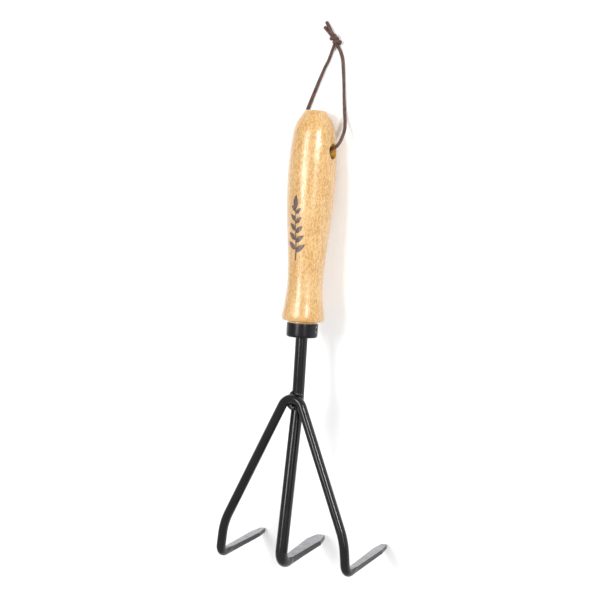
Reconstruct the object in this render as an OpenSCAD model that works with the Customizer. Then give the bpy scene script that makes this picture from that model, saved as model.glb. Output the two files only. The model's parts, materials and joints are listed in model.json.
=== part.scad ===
// Three-tine hand rake with a turned wooden handle.
// Each piece is drawn in the tool's own frame, in millimetres: +Z runs up the handle from the
// ferrule's lower end, +Y is the way the prongs point and X runs across the head.
// placed() then lays the tool on a table at Z = 0: prong tips and the handle's shoulder touch it,
// +Y points to the handle's butt.

/* [Handle] */
// Length of the handle above the ferrule's lower end
handle_len = 148.8; // [140:0.2:160]
// Largest diameter of the handle's grip
grip_d = 31.5; // [30:0.1:34]
// Smallest diameter, at the waist above the flare
waist_d = 23.5; // [22:0.1:25]
// Diameter of the flare at the lower end of the wood
flare_d = 28.6; // [26:0.1:30]
// Diameter of the flat butt end
butt_d = 13.6; // [12:0.1:16]
// Diameter of the cross hole for the lanyard
hang_hole_d = 10; // [9:0.1:11]
// Height of the cross hole above the ferrule's lower end
hang_hole_z = 122.7; // [118:0.1:126]

/* [Ferrule] */
// Outside diameter of the steel ferrule
ferrule_d = 20.6; // [20:0.1:22]
// Height of the ferrule
ferrule_h = 9.4; // [8:0.1:10]
// Wall of the ferrule
ferrule_wall = 0.8; // [0.6:0.1:1]
// Diameter of the nail that holds the ferrule
nail_d = 2.6; // [1.8:0.1:3]

/* [Rods] */
// Diameter of the shank and centre tine
centre_rod_d = 8; // [7.5:0.1:8.5]
// Diameter of the rod that makes both outer tines
outer_rod_d = 6.2; // [5.8:0.1:6.6]
// Length of the shank's tang inside the handle
tang_len = 62; // [40:1:80]
// Height of the slight backward bend in the centre rod
shank_bend_z = -47; // [-52:1:-45]
// Distance from the ferrule's lower end to the centre tine's corner
head_len = 150.3; // [148:0.1:153]
// Distance from the ferrule's lower end to the outer tines' corners
outer_head_len = 149.7; // [148:0.1:152]
// How far behind the handle's axis the centre tine's corner lies
centre_setback = 10.5; // [9:0.1:12]
// How far behind the handle's axis the outer tines' corners lie
outer_setback = 8.4; // [8:0.1:10]
// Half the distance between the outer tines' corners
half_spread = 47; // [44:0.1:50]
// Half the distance between the outer tines' knees
knee_half_spread = 44.9; // [42:0.1:46]
// Distance from the ferrule's lower end to the knees
knee_len = 128.3; // [124:0.1:132]

/* [Prongs] */
// Length of a prong from its corner to its tip
prong_len = 60; // [58:0.1:64]
// How far the centre prong rises towards the handle, in degrees
centre_rise = 10.4; // [9:0.1:11]
// How far the left prong rises towards the handle, in degrees
left_rise = 7.6; // [7:0.1:10]
// How far the right prong rises towards the handle, in degrees
right_rise = 10; // [7:0.1:10.5]
// Greatest width of the centre prong
centre_blade_w = 10.8; // [9:0.1:11.4]
// Greatest width of an outer prong
outer_blade_w = 7; // [6.4:0.1:7.8]
// Thickness of the centre prong at its tip
centre_blade_t = 3.7; // [3:0.1:4]
// Thickness of an outer prong at its tip
outer_blade_t = 3.3; // [2.8:0.1:3.6]

/* [Lanyard] */
// Diameter of the leather lace
lace_d = 2.4; // [2:0.1:2.6]
// Diameter of the knot
knot_d = 6.6; // [6:0.1:7.2]

/* [Hidden] */
$fn = 64;
eps = 0.01;

grip_z = 105;                       // height of the grip's fullest point
waist_z = 36;                       // height of the waist
flare_z = 12.6;                     // height of the flare's widest point
wood_z = 10.8;                      // lower face of the flare
shoulder_z = 134;                   // where the grip turns in to the butt
shoulder_d = 27.8;                  // diameter there
butt_slope = 0.27;                  // how fast the butt narrows where it starts, 0 to 1
profile_step = 3;                   // height of one facet of the turned profile
hole_chamfer = 0.7;                 // chamfer on the cross hole's rims

tenon_d = ferrule_d - 2 * ferrule_wall;
ferrule_floor = 1.2;                // thickness of the ferrule's closed end
ferrule_round = 1.6;                // rounding of its lower edge
nail_angle = 9;                     // nail's direction, forward of the right-hand side
nail_z = 5.6;                       // nail's height
nail_len = 5;                       // nail's length from the ferrule's inner wall
nail_sink = 0.3;                    // how far its head lies below the ferrule's outside

rc = centre_rod_d / 2;
ro = outer_rod_d / 2;
centre_corner_r = 7;                // centreline radius of the centre tine's corner
outer_corner_r = 5.6;               // centreline radius of the outer tines' corners
shank_bend_r = 60;                  // centreline radius of the centre rod's slight bend
rod_sides = 32;                     // sides of the rods' outlines
root_share = 0.15;                  // where a prong's flat starts, as a share of its length
shoulder_share = 0.8;               // where a prong is widest
end_bevel = 0.7;                    // size of a prong's blunt end against its section behind it
end_taper = 0.5;                    // how much a prong narrows from its widest place to its end
top_part = 0.43;                    // share of a prong's thickness above its rod's centreline
knee_r = 45;                        // centreline radius of the knees
apex_r = 8;                         // centreline radius of the V's apex
apex_z = -29;                       // where the V's two legs would meet
apex_y = -6.85;                     // how far behind the axis they would meet
tang_point = 6;                     // length of the tang's pointed end

// Where the centrelines of the rods change direction
shank_bend = [0, 0, shank_bend_z];
centre_corner = [0, -centre_setback, -head_len];
apex = [0, apex_y, apex_z];
function knee(s) = [s * knee_half_spread, -outer_setback - 1, -knee_len];
function outer_corner(s) = [s * half_spread, -outer_setback, -outer_head_len];
function prong_dir(rise) = [0, cos(rise), sin(rise)];
function prong_point(corner, rise, share) = corner + share * prong_len * prong_dir(rise);

// --- handle profile ---------------------------------------------------------------------------
function ease(t) = (1 - cos(180 * t)) / 2;
function handle_r(z) =
    z < flare_z ? flare_d / 2 - (flare_z - z) * 0.35
    : z < waist_z
        ? waist_d / 2 + (flare_d - waist_d) / 2 * pow((waist_z - z) / (waist_z - flare_z), 1.7)
    : z < grip_z
        ? waist_d / 2 + (grip_d - waist_d) / 2 * ease(pow((z - waist_z) / (grip_z - waist_z), 0.9))
    : z < shoulder_z
        ? grip_d / 2 - (grip_d - shoulder_d) / 2 * pow((z - grip_z) / (shoulder_z - grip_z), 2)
    : let (t = (z - shoulder_z) / (handle_len - shoulder_z))
        butt_d / 2 + (shoulder_d - butt_d) / 2 * (1 - butt_slope * t - (1 - butt_slope) * t * t);

grip_steps = floor((shoulder_z - flare_z) / profile_step);
butt_steps = 8;
profile_z = concat(
    [for (i = [0 : grip_steps]) flare_z + (shoulder_z - flare_z) * i / grip_steps],
    [for (i = [1 : butt_steps]) shoulder_z + (handle_len - shoulder_z) * i / butt_steps]);

// --- how the tool lies on the table -----------------------------------------------------------
// The top and bottom edges of a prong's blunt end
function tip_edges(corner, rise, tip_t) =
    [for (h = [top_part, top_part - 1])
        prong_point(corner, rise, 1) + end_bevel * tip_t * h * [0, -sin(rise), cos(rise)]];

contacts = concat(tip_edges(outer_corner(-1), left_rise, outer_blade_t),
                  tip_edges(outer_corner(1), right_rise, outer_blade_t));
tilt = atan(max([for (p = contacts)
    min([for (z = profile_z) (p.y - handle_r(z)) / (z - p.z)])]));
lift = max([for (p = contacts) p.y * cos(tilt) + p.z * sin(tilt)]);
along_table = [0, -sin(tilt), cos(tilt)];
far_end = handle_len * cos(tilt) + butt_d / 2 * sin(tilt);
near_end = along_table * bend_middle(prong_point(centre_corner, centre_rise, 1), centre_corner,
                                     shank_bend, centre_corner_r) - centre_corner_r - rc;
shift = -(far_end + near_end) / 2;

// --- lanyard route, on the table frame --------------------------------------------------------
// From the knot along the left leg, through the cross hole and back along the right leg
lace_route = [
    [8.8, 191.6, 2.6], [6.4, 187.2, 1.4], [3.8, 181, 1.3], [1, 176, 1.3], [-4, 165.5, 1.3],
    [-8.5, 155.5, 1.3], [-12.5, 146.5, 1.3], [-16, 137, 1.4], [-18, 130, 2.2],
    [-18.6, 125.5, 5], [-18, 123.6, 9], [-15.5, 123, 12], [-11.5, 123, 13.2],
    [-4, 123.5, 13.6], [4, 124, 14], [11.5, 124.6, 14.4], [15.4, 125.6, 14.4],
    [18, 128.4, 13.6], [19, 132.6, 11], [18.6, 137, 7], [17, 142, 3.4], [15.8, 148, 1.6],
    [15.2, 156, 1.3], [15, 165, 1.3], [14.6, 175, 1.3], [14, 182, 1.3], [12.2, 187.6, 1.5],
    [10.2, 191.6, 2.6]];
knot_centre = [9.6, 194.4, 3.3];
tail_ends = [[2.2, 206, 1.4], [0.9, 202.6, 1.6]];
lace_sides = 8;
lace_ring_gap = 6;                  // distance between rings, in millimetres

// --- vector helpers ---------------------------------------------------------------------------
function unit(v) = v / norm(v);

// Lays a piece drawn in the tool's frame on the table
module placed() {
    translate([0, shift, lift]) rotate([-90 - tilt, 0, 0]) children();
}

// A closed skin over a list of rings with the same number of points
module skin(rings) {
    sides = len(rings[0]);
    last = len(rings) - 1;
    walls = [for (i = [0 : last - 1]) for (k = [0 : sides - 1])
        [i * sides + k, (i + 1) * sides + k,
         (i + 1) * sides + (k + 1) % sides, i * sides + (k + 1) % sides]];
    ends = [[for (k = [0 : sides - 1]) k],
            [for (k = [sides - 1 : -1 : 0]) last * sides + k]];
    polyhedron([for (ring = rings) for (point = ring) point], concat(walls, ends), convexity = 10);
}

// --- rods: stations of [centre, direction] along straight stretches and bends ------------------
function cut(a, p, b, bend_r) = bend_r * tan(acos(unit(p - a) * unit(b - p)) / 2);

function bend_middle(a, p, b, bend_r) =
    let (d = unit(p - a), e = unit(b - p))
    p - d * cut(a, p, b, bend_r) + unit(e - (d * e) * d) * bend_r;

function bend(a, p, b, bend_r, steps) =
    let (d = unit(p - a),
         turn = acos(d * unit(b - p)),
         inward = unit(unit(b - p) - cos(turn) * d),
         middle = bend_middle(a, p, b, bend_r))
    [for (i = [0 : steps])
        let (t = turn * i / steps)
        [middle + bend_r * (sin(t) * d - cos(t) * inward), cos(t) * d + sin(t) * inward]];

// Side direction carried along the stations without twisting
function carried(n, d) = unit(n - (n * d) * d);
function sides_along(path, n, i = 0, out = []) =
    i == len(path) ? out
    : let (m = carried(n, path[i][1])) sides_along(path, m, i + 1, concat(out, [m]));

// Outlines across a rod: round, and a prong's flat top, upright sides and rounded underside
function ring_angle(k) = 360 * k / rod_sides;
function round_outline(r) =
    [for (k = [0 : rod_sides - 1]) r * [cos(ring_angle(k)), sin(ring_angle(k))]];
function flat_outline(half_w, top, bottom) = [
    for (k = [0 : rod_sides - 1])
        let (c = cos(ring_angle(k)), s = sin(ring_angle(k)), m = max(abs(c), abs(s)))
        s >= 0 ? [half_w * c / m, top * s / m]
               : [half_w * sign(c) * pow(abs(c), 0.4), -bottom * pow(-s, 0.4)]];

// A prong's outline at a share of its length from the corner: round at its root, then hammered
// flat and wider up to the shoulder, narrower past it, and bevelled all round at its blunt end
blade_shares = [1, 0.975, 0.93, 0.88, 0.84, 0.8, 0.72, 0.62, 0.51, 0.41, 0.33, 0.27, 0.22, 0.18];
function blade_half_w(u, root, widest) =
    u < shoulder_share
        ? root + (widest - root)
            * pow(max(0, (u - root_share) / (shoulder_share - root_share)), 1.25)
        : widest * (1 - end_taper * (u - shoulder_share) / (1 - shoulder_share));
function blade_outline(u, r, blade_w, tip_t) =
    let (flat = min(1, max(0, (u - root_share) / 0.07)),
         size = u == 1 ? end_bevel : 1,
         top = 0.58 * r + (top_part * tip_t - 0.58 * r) * u,
         bottom = 0.86 * r + ((1 - top_part) * tip_t - 0.86 * r) * u)
    (1 - flat) * round_outline(r)
        + flat * size * flat_outline(blade_half_w(u, 0.78 * r, blade_w / 2), top, bottom);

// Rings of a rod that starts at its prong's tip and runs through its corner along a path
function rod_rings(corner, rise, path, r, blade_w, tip_t) =
    let (prong = [for (u = blade_shares) [prong_point(corner, rise, u), -prong_dir(rise)]],
         stations = concat(prong, path),
         side = sides_along(stations, [1, 0, 0]))
    [for (i = [0 : len(stations) - 1])
        let (up = cross(stations[i][1], side[i]),
             outline = i < len(prong) ? blade_outline(blade_shares[i], r, blade_w, tip_t)
                                      : round_outline(r))
        [for (p = outline) stations[i][0] + p.x * side[i] + p.y * up]];

function mirrored(ring) = [for (p = ring) [-p.x, p.y, p.z]];
function ring_shrunk(ring, middle, share) = [for (p = ring) middle + share * (p - middle)];

// --- pieces -----------------------------------------------------------------------------------
module handle() {
    color("burlywood") placed() difference() {
        union() {
            rotate_extrude() polygon(concat(
                [[0, wood_z - 1], [tenon_d / 2, wood_z - 1], [tenon_d / 2, wood_z],
                 [flare_d / 2 - 1.6, wood_z], [flare_d / 2 - 0.5, wood_z + 0.6]],
                [for (z = profile_z) [handle_r(z), z]],
                [[0, handle_len]]));
            translate([0, 0, ferrule_floor]) cylinder(d = tenon_d, h = wood_z - ferrule_floor);
        }
        translate([0, 0, -eps]) cylinder(d = centre_rod_d, h = tang_len - tang_point + eps);
        translate([0, 0, tang_len - tang_point - eps])
            cylinder(d1 = centre_rod_d, d2 = 0, h = tang_point);
        translate([0, 0, hang_hole_z]) rotate([0, 90, 0]) hang_hole();
        nail_shape(nail_d);
    }
}

module hang_hole() {
    rim = handle_r(hang_hole_z) - hole_chamfer - 0.4;
    cylinder(d = hang_hole_d, h = 2 * grip_d, center = true);
    for (s = [-1, 1]) mirror([0, 0, s < 0 ? 1 : 0]) translate([0, 0, rim])
        cylinder(d1 = hang_hole_d, d2 = hang_hole_d + 8 * hole_chamfer, h = 4 * hole_chamfer);
}

module nail_shape(d) {
    rotate([0, 0, nail_angle]) translate([tenon_d / 2 - nail_len, 0, nail_z])
        rotate([0, 90, 0]) cylinder(d = d, h = nail_len + ferrule_wall - nail_sink);
}

module ferrule() {
    color("#2b2b2d") placed() difference() {
        rotate_extrude() difference() {
            union() {
                translate([0, ferrule_round]) square([ferrule_d / 2, ferrule_h - ferrule_round]);
                square([ferrule_d / 2 - ferrule_round, ferrule_h]);
                translate([ferrule_d / 2 - ferrule_round, ferrule_round])
                    circle(r = ferrule_round);
            }
            translate([-ferrule_d, -ferrule_h]) square([ferrule_d, 3 * ferrule_h]);
            translate([0, ferrule_floor]) square([tenon_d / 2, ferrule_h]);
        }
        translate([0, 0, -1]) cylinder(d = centre_rod_d, h = ferrule_h);
        rotate([0, 0, nail_angle]) translate([0, 0, nail_z]) rotate([0, 90, 0])
            cylinder(d = nail_d, h = ferrule_d);
    }
}

module ferrule_nail() {
    color("#3a3a3c") placed() nail_shape(nail_d);
}

module centre_rod() {
    tip = prong_point(centre_corner, centre_rise, 1);
    tang_end = [0, 0, tang_len];
    tang_shoulder = [0, 0, tang_len - tang_point];
    path = concat(bend(tip, centre_corner, shank_bend, centre_corner_r, 10),
                  bend(centre_corner, shank_bend, tang_end, shank_bend_r, 4),
                  [[tang_shoulder, [0, 0, 1]]]);
    rings = rod_rings(centre_corner, centre_rise, path, rc, centre_blade_w, centre_blade_t);
    point = ring_shrunk([for (p = rings[len(rings) - 1]) p + [0, 0, tang_point]], tang_end, 0.2);
    color("#1d1d1f") placed() skin(concat(rings, [point]));
}

// Rings of the left half of the V, from its prong's tip to the apex
function outer_half(rise) =
    let (corner = outer_corner(-1),
         apex_bend = bend(knee(-1), apex, knee(1), apex_r, 16),
         path = concat(bend(prong_point(corner, rise, 1), corner, knee(-1), outer_corner_r, 10),
                       bend(corner, knee(-1), apex, knee_r, 5),
                       [for (i = [0 : 8]) apex_bend[i]]))
    rod_rings(corner, rise, path, ro, outer_blade_w, outer_blade_t);

module outer_tine_rod() {
    left = outer_half(left_rise);
    right = outer_half(right_rise);
    color("#1d1d1f") placed()
        skin(concat(left, [for (i = [len(right) - 2 : -1 : 0]) mirrored(right[i])]));
}

// A weld bead: a bar with round ends between two points
module bead(a, b, r) {
    d = b - a;
    translate(a) rotate([0, acos(d.z / norm(d)), atan2(d.y, d.x)]) rotate_extrude() difference() {
        union() {
            circle(r = r);
            square([r, norm(d)]);
            translate([0, norm(d)]) circle(r = r);
        }
        translate([-2 * r, -2 * r]) square([2 * r, norm(d) + 4 * r]);
    }
}

module weld_left() {
    color("#202022") placed() bead([-2.6, -3.6, -36.6], [-3.2, -4.8, -38.6], 1.2);
}

module weld_right() {
    color("#202022") placed() bead([0.4, -4.6, -36.8], [4.2, -4, -37.8], 1.4);
}

module weld_crotch() {
    color("#202022") placed() bead([-3.2, -5.4, -44.8], [-0.4, -5.4, -46.4], 2.2);
}

// --- lanyard ----------------------------------------------------------------------------------
function spline(p0, p1, p2, p3, t) =
    0.5 * (2 * p1 + (p2 - p0) * t + (2 * p0 - 5 * p1 + 4 * p2 - p3) * t * t
           + (3 * p1 - p0 - 3 * p2 + p3) * t * t * t);

function smooth_path(p, gap) = [
    for (i = [0 : len(p) - 2])
        let (a = p[max(i - 1, 0)], b = p[i], c = p[i + 1], d = p[min(i + 2, len(p) - 1)],
             n = max(1, round(norm(c - b) / gap)))
        for (k = [0 : n - 1]) spline(a, b, c, d, k / n),
    p[len(p) - 1]];

// A closed tube of one polyhedron along a path
module tube(path, d, sides) {
    last = len(path) - 1;
    stations = [for (i = [0 : last])
        [path[i], unit(path[min(i + 1, last)] - path[max(i - 1, 0)])]];
    side = sides_along(stations, unit(cross(stations[0][1], [0, 0, 1])));
    skin([for (i = [0 : last])
        let (up = cross(stations[i][1], side[i]))
        [for (k = [0 : sides - 1])
            path[i] + d / 2 * (cos(360 * k / sides) * side[i] + sin(360 * k / sides) * up)]]);
}

module lanyard_loop() {
    color("sienna") tube(smooth_path(lace_route, lace_ring_gap), lace_d, lace_sides);
}

module lanyard_knot() {
    color("sienna") translate(knot_centre) sphere(d = knot_d);
}

module lanyard_tails() {
    color("sienna") for (end = tail_ends)
        tube(smooth_path([knot_centre + 0.4 * (end - knot_centre), end], lace_ring_gap),
             lace_d, lace_sides);
}

handle();
ferrule();
ferrule_nail();
centre_rod();
outer_tine_rod();
weld_left();
weld_right();
weld_crotch();
lanyard_loop();
lanyard_knot();
lanyard_tails();
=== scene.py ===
import json
import math

import bmesh
import bpy
from mathutils import Matrix, Vector, noise


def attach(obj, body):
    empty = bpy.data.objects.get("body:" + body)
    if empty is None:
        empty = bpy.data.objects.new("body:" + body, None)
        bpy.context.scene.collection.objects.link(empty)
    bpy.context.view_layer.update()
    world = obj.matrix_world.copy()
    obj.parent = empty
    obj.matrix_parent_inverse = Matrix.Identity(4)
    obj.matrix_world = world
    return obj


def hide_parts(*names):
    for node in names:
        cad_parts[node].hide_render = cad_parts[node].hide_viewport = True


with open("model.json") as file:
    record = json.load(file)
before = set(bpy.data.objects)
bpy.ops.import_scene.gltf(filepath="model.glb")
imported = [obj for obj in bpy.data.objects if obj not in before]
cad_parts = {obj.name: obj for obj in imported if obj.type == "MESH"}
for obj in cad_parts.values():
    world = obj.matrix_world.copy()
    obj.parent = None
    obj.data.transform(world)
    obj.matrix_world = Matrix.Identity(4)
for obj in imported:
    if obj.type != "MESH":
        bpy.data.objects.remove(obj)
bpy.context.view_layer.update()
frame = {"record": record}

MM = 0.001
RAKE = "rake"
LANYARD = "lanyard"

# --- the rake's own frame -----------------------------------------------------------------------
# Most pieces are drawn in millimetres in the rake's own frame: +Z up the handle from the ferrule's
# lower end, +Y the way the prongs point, X across the head. The butt mount places it on the table.
HANDLE_LEN = 148.8
mounts = {m["name"]: m for m in frame["record"]["mounts"]}
butt = mounts["butt_face"]
tool_z = Vector(butt["axis"]).normalized()
tool_x = Vector((1, 0, 0))
tool_y = tool_z.cross(tool_x)
tool_origin = Vector(butt["pos_m"]) - tool_z * HANDLE_LEN * MM
PLACE = Matrix.Translation(tool_origin) @ Matrix((tool_x, tool_y, tool_z)).transposed().to_4x4()


def around_handle(azimuth, elevation):
    """A direction from the handle: azimuth 0 is its back, positive to +X; elevation to the butt."""
    a, e = math.radians(azimuth), math.radians(elevation)
    return Vector((math.cos(e) * math.sin(a), -math.cos(e) * math.cos(a), math.sin(e)))


def aimed(target, azimuth, elevation, distance, roll=0):
    """A matrix at a distance from a target, in the rake's frame, whose -Z looks at the target."""
    away = around_handle(azimuth, elevation)
    right = (-away).cross(Vector((0, 0, 1))).normalized()
    up = right.cross(-away)
    turn = Matrix((right, up, away)).transposed() @ Matrix.Rotation(math.radians(roll), 3, "Z")
    place = Matrix.Translation((target + away * distance) * MM) @ turn.to_4x4()
    return PLACE @ place


# --- camera -------------------------------------------------------------------------------------
CAMERA_AIM = Vector((-3.0, 0, 24.3))
CAMERA_AZIMUTH = 27.6
CAMERA_ELEVATION = 3.4
CAMERA_DISTANCE = 1156
CAMERA_ROLL = 3.6
CAMERA_LENS = 105.4
camera = bpy.data.objects.new("camera", bpy.data.cameras.new("camera"))
bpy.context.collection.objects.link(camera)
camera.data.lens = CAMERA_LENS
camera.data.sensor_width = 36
camera.matrix_world = aimed(CAMERA_AIM, CAMERA_AZIMUTH, CAMERA_ELEVATION, CAMERA_DISTANCE,
                            CAMERA_ROLL)
bpy.context.scene.camera = camera


# --- mesh helpers -------------------------------------------------------------------------------
ON_TABLE = Matrix.Diagonal((MM, MM, MM, 1))        # millimetres on the table
IN_RAKE = PLACE @ ON_TABLE                         # millimetres in the rake's own frame


def link(name, verts, faces, place=IN_RAKE):
    """A new piece at the origin, with its place in its mesh."""
    mesh = bpy.data.meshes.new(name)
    mesh.from_pydata([tuple(place @ Vector(v)) for v in verts], [], faces)
    mesh.update()
    piece = bpy.data.objects.new(name, mesh)
    bpy.context.collection.objects.link(piece)
    return piece


def smooth(piece, angle):
    """Smooth shading, with an edge kept sharp where it turns by more than the angle."""
    piece.data.shade_smooth()
    piece.data.set_sharp_from_angle(angle=math.radians(angle))


def skin(rings):
    """Vertices and faces of a closed skin over rings that all have the same number of points."""
    sides = len(rings[0])
    verts = [p for ring in rings for p in ring]
    faces = [(i * sides + k, i * sides + (k + 1) % sides,
              (i + 1) * sides + (k + 1) % sides, (i + 1) * sides + k)
             for i in range(len(rings) - 1) for k in range(sides)]
    last = (len(rings) - 1) * sides
    faces.append(tuple(reversed(range(sides))))
    faces.append(tuple(last + k for k in range(sides)))
    return verts, faces


def lathe(name, outline, sides, place=IN_RAKE):
    """A body turned from an outline of (radius, height) points; radius 0 closes an end."""
    rings, verts, faces = [], [], []
    for r, z in outline:
        start = len(verts)
        if r < 1e-6:
            verts.append((0, 0, z))
            rings.append([start])
        else:
            for k in range(sides):
                a = math.tau * k / sides
                verts.append((r * math.cos(a), r * math.sin(a), z))
            rings.append(list(range(start, start + sides)))
    pairs = list(zip(rings, rings[1:]))
    if len(rings[0]) > 1:
        pairs.append((rings[-1], rings[0]))
    for low, high in pairs:
        for k in range(sides):
            n = (k + 1) % sides
            if len(low) == 1:
                faces.append((low[0], high[n], high[k]))
            elif len(high) == 1:
                faces.append((low[k], low[n], high[0]))
            else:
                faces.append((low[k], low[n], high[n], high[k]))
    return link(name, verts, faces, place)


def outward(piece):
    """Turns all faces of a closed piece outward."""
    bm = bmesh.new()
    bm.from_mesh(piece.data)
    bmesh.ops.recalc_face_normals(bm, faces=bm.faces)
    bm.to_mesh(piece.data)
    bm.free()


def drill(piece, cutter):
    """Takes the cutter's volume out of a piece, and deletes the cutter."""
    outward(piece)
    outward(cutter)
    change = piece.modifiers.new("drill", "BOOLEAN")
    change.object = cutter
    change.solver = "EXACT"
    bpy.context.view_layer.update()
    drilled = piece.evaluated_get(bpy.context.evaluated_depsgraph_get())
    result = bpy.data.meshes.new_from_object(drilled)
    piece.modifiers.clear()
    piece.data = result
    bpy.data.objects.remove(cutter)


def spline_point(a, b, c, d, t):
    """A point between b and c on the smooth curve through a, b, c and d."""
    return 0.5 * (2 * b + (c - a) * t + (2 * a - 5 * b + 4 * c - d) * t * t
                  + (3 * b - a - 3 * c + d) * t * t * t)


def smooth_path(points, gap):
    """Points about a gap apart on a smooth curve through given points."""
    p = [Vector(v) for v in points]
    path = []
    for i in range(len(p) - 1):
        a, b, c, d = p[max(i - 1, 0)], p[i], p[i + 1], p[min(i + 2, len(p) - 1)]
        steps = max(1, round((c - b).length / gap))
        path += [spline_point(a, b, c, d, k / steps) for k in range(steps)]
    return path + [p[-1]]


def directions(path):
    """The direction of travel at each point of a path."""
    last = len(path) - 1
    return [(path[min(i + 1, last)] - path[max(i - 1, 0)]).normalized() for i in range(last + 1)]


def carried_sides(dirs, side):
    """A direction square to each direction of travel, carried along without twisting."""
    sides = []
    for d in dirs:
        side = (side - side.dot(d) * d).normalized()
        sides.append(side)
    return sides


def joined(skins):
    """One list of vertices and one of faces from several skins."""
    verts, faces = [], []
    for v, f in skins:
        faces += [tuple(i + len(verts) for i in face) for face in f]
        verts += v
    return verts, faces


# --- lanyard ------------------------------------------------------------------------------------
LACE_D = 2.4
LACE_SIDES = 14
LACE_FLATNESS = 0.8         # its thickness as a share of its width
LACE_SQUARENESS = 3.2       # 2 is an ellipse, and more is squarer
CORNER_SHARE, CORNER_POWER = 0.07, 0.35     # how little its corners stand out past an ellipse
TWIST_SWING = 0.9           # radians that it twists to and fro
TWIST_RATE = 0.055          # radians of the twist's swing per millimetre
CUT_END_SIZE = 0.82         # a cut end's size as a share of the lace's
# From the knot along the left leg, through the cross hole and back along the right leg
LACE_ROUTE = [
    (8.8, 191.6, 2.6), (6.4, 187.2, 1.4), (3.8, 181, 1.3), (1, 176, 1.3), (-4, 165.5, 1.3),
    (-8.5, 155.5, 1.3), (-12.5, 146.5, 1.3), (-16, 137, 1.4), (-18, 130, 2.2),
    (-18.6, 125.5, 5), (-18, 123.6, 9), (-15.5, 123, 12), (-11.5, 123, 13.2),
    (-4, 123.5, 13.6), (4, 124, 14), (11.5, 124.6, 14.4), (15.4, 125.6, 14.4),
    (18, 128.4, 13.6), (19, 132.6, 11), (18.6, 137, 7), (17, 142, 3.4), (15.8, 148, 1.6),
    (15.2, 156, 1.3), (15, 165, 1.3), (14.6, 175, 1.3), (14, 182, 1.3), (12.2, 187.6, 1.5),
    (10.2, 191.6, 2.6)]
KNOT_CENTRE = Vector((9.6, 194.4, 3.3))
KNOT_UP = Vector((0, 0, 1))
KNOT_ALONG = Vector((-0.45, 0.893, 0)).normalized()      # towards the cut ends
KNOT_ACROSS = KNOT_ALONG.cross(KNOT_UP)
TAIL_ENDS = [(2.2, 206, 1.4), (0.9, 202.6, 1.6)]
TAIL_ROOT_SHARE = 0.12      # where a tail starts inside the knot, on the way to its end
TAIL_BOW = Vector((0.2, 0.1, 0.4))
LACE_SHARP = 50             # the angle in degrees from which the lace's edges stay sharp


def lace_rings(path, diameter, seed=1, worn=0.03, ends=(False, False)):
    """Rings of a leather lace: a flattened soft square that twists slowly, with uneven spots."""
    dirs = directions(path)
    start = dirs[0].cross(Vector((0, 0, 1)))
    side = carried_sides(dirs, start if start.length > 1e-3 else Vector((1, 0, 0)))
    rings, along = [], 0.0
    for i, centre in enumerate(path):
        if i:
            along += (centre - path[i - 1]).length
        up = dirs[i].cross(side[i])
        twist = TWIST_SWING * math.sin(along * TWIST_RATE + seed)
        wide = math.cos(twist) * side[i] + math.sin(twist) * up
        thin = dirs[i].cross(wide) * LACE_FLATNESS
        ring = []
        for k in range(LACE_SIDES):
            a = math.tau * k / LACE_SIDES
            c, s = math.cos(a), math.sin(a)
            powers = abs(c) ** LACE_SQUARENESS + abs(s) ** LACE_SQUARENESS
            square = powers ** (-1 / LACE_SQUARENESS)
            spot = noise.noise(centre * 0.55 + Vector((c, s, seed)) * 0.7)
            r = diameter / 2 * (1 - CORNER_SHARE + CORNER_SHARE * square) * (1 + worn * spot)
            ring.append(centre + r * square ** CORNER_POWER * (c * wide + s * thin))
        rings.append(ring)
    for is_cut, at in ((ends[0], 0), (ends[1], len(path) - 1)):
        if is_cut:
            rings[at] = [path[at] + CUT_END_SIZE * (p - path[at]) for p in rings[at]]
    return rings


def in_knot(across, along, up):
    """A point at a distance from the knot's centre, along the knot's own axes."""
    return KNOT_CENTRE + KNOT_ACROSS * across + KNOT_ALONG * along + KNOT_UP * up


def knot_wraps():
    """The lace's two turns round the knot, which lean over each other; both ends are tucked in."""
    radius, height, lean = 1.75, 6.4, -2.2
    turns, first = 2.15, -0.2
    thickness = 0.86            # of the knot, as a share of its width
    pressed_lace_d = 2.3
    steps = 110
    path = []
    for i in range(steps + 1):
        t = i / steps
        turn = math.tau * (turns * t + first)
        out = radius * min(1, 3.4 * math.sin(math.pi * t) + 0.15)      # less at both ends
        rise = height * (t - 0.5) + 0.5 * math.sin(turn)
        path.append(in_knot(out * math.cos(turn) + lean * (t - 0.5), rise,
                            out * thickness * math.sin(turn)))
    return lace_rings(path, pressed_lace_d, seed=2, worn=0.06, ends=(True, True))


def knot_core():
    """The two laces that run through the knot, side by side."""
    cores = []
    for side, seed in ((-1, 11), (1, 17)):
        points = [in_knot(side * 1.1 + 0.5, -3.6, -0.7), in_knot(side * 0.95, -1.2, 0),
                  in_knot(side * 0.95, 1.4, 0.2), in_knot(side * 0.9 - 0.2, 3.4, -0.2)]
        path = smooth_path(points, 0.5)
        cores.append(lace_rings(path, LACE_D * 0.9, seed=seed, ends=(True, True)))
    return cores


def knot_bight():
    """The bend of lace that stands out at the knot's upper right."""
    points = [in_knot(-0.5, -1.2, 0.8), in_knot(1.1, 0.5, 1.5), in_knot(1.8, 1.9, 1.2),
              in_knot(0.9, 2.9, 0.4), in_knot(-0.5, 2.8, 0)]
    return lace_rings(smooth_path(points, 0.4), LACE_D * 0.88, seed=23, ends=(True, True))


def tail_rings(end, seed):
    """Rings of a tail that bows a little, from inside the knot to its cut end."""
    start = KNOT_CENTRE + TAIL_ROOT_SHARE * (Vector(end) - KNOT_CENTRE)
    middle = (start + Vector(end)) / 2 + TAIL_BOW
    return lace_rings(smooth_path([start, middle, end], 0.6), LACE_D * 0.95, seed=seed,
                      ends=(False, True))


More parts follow.
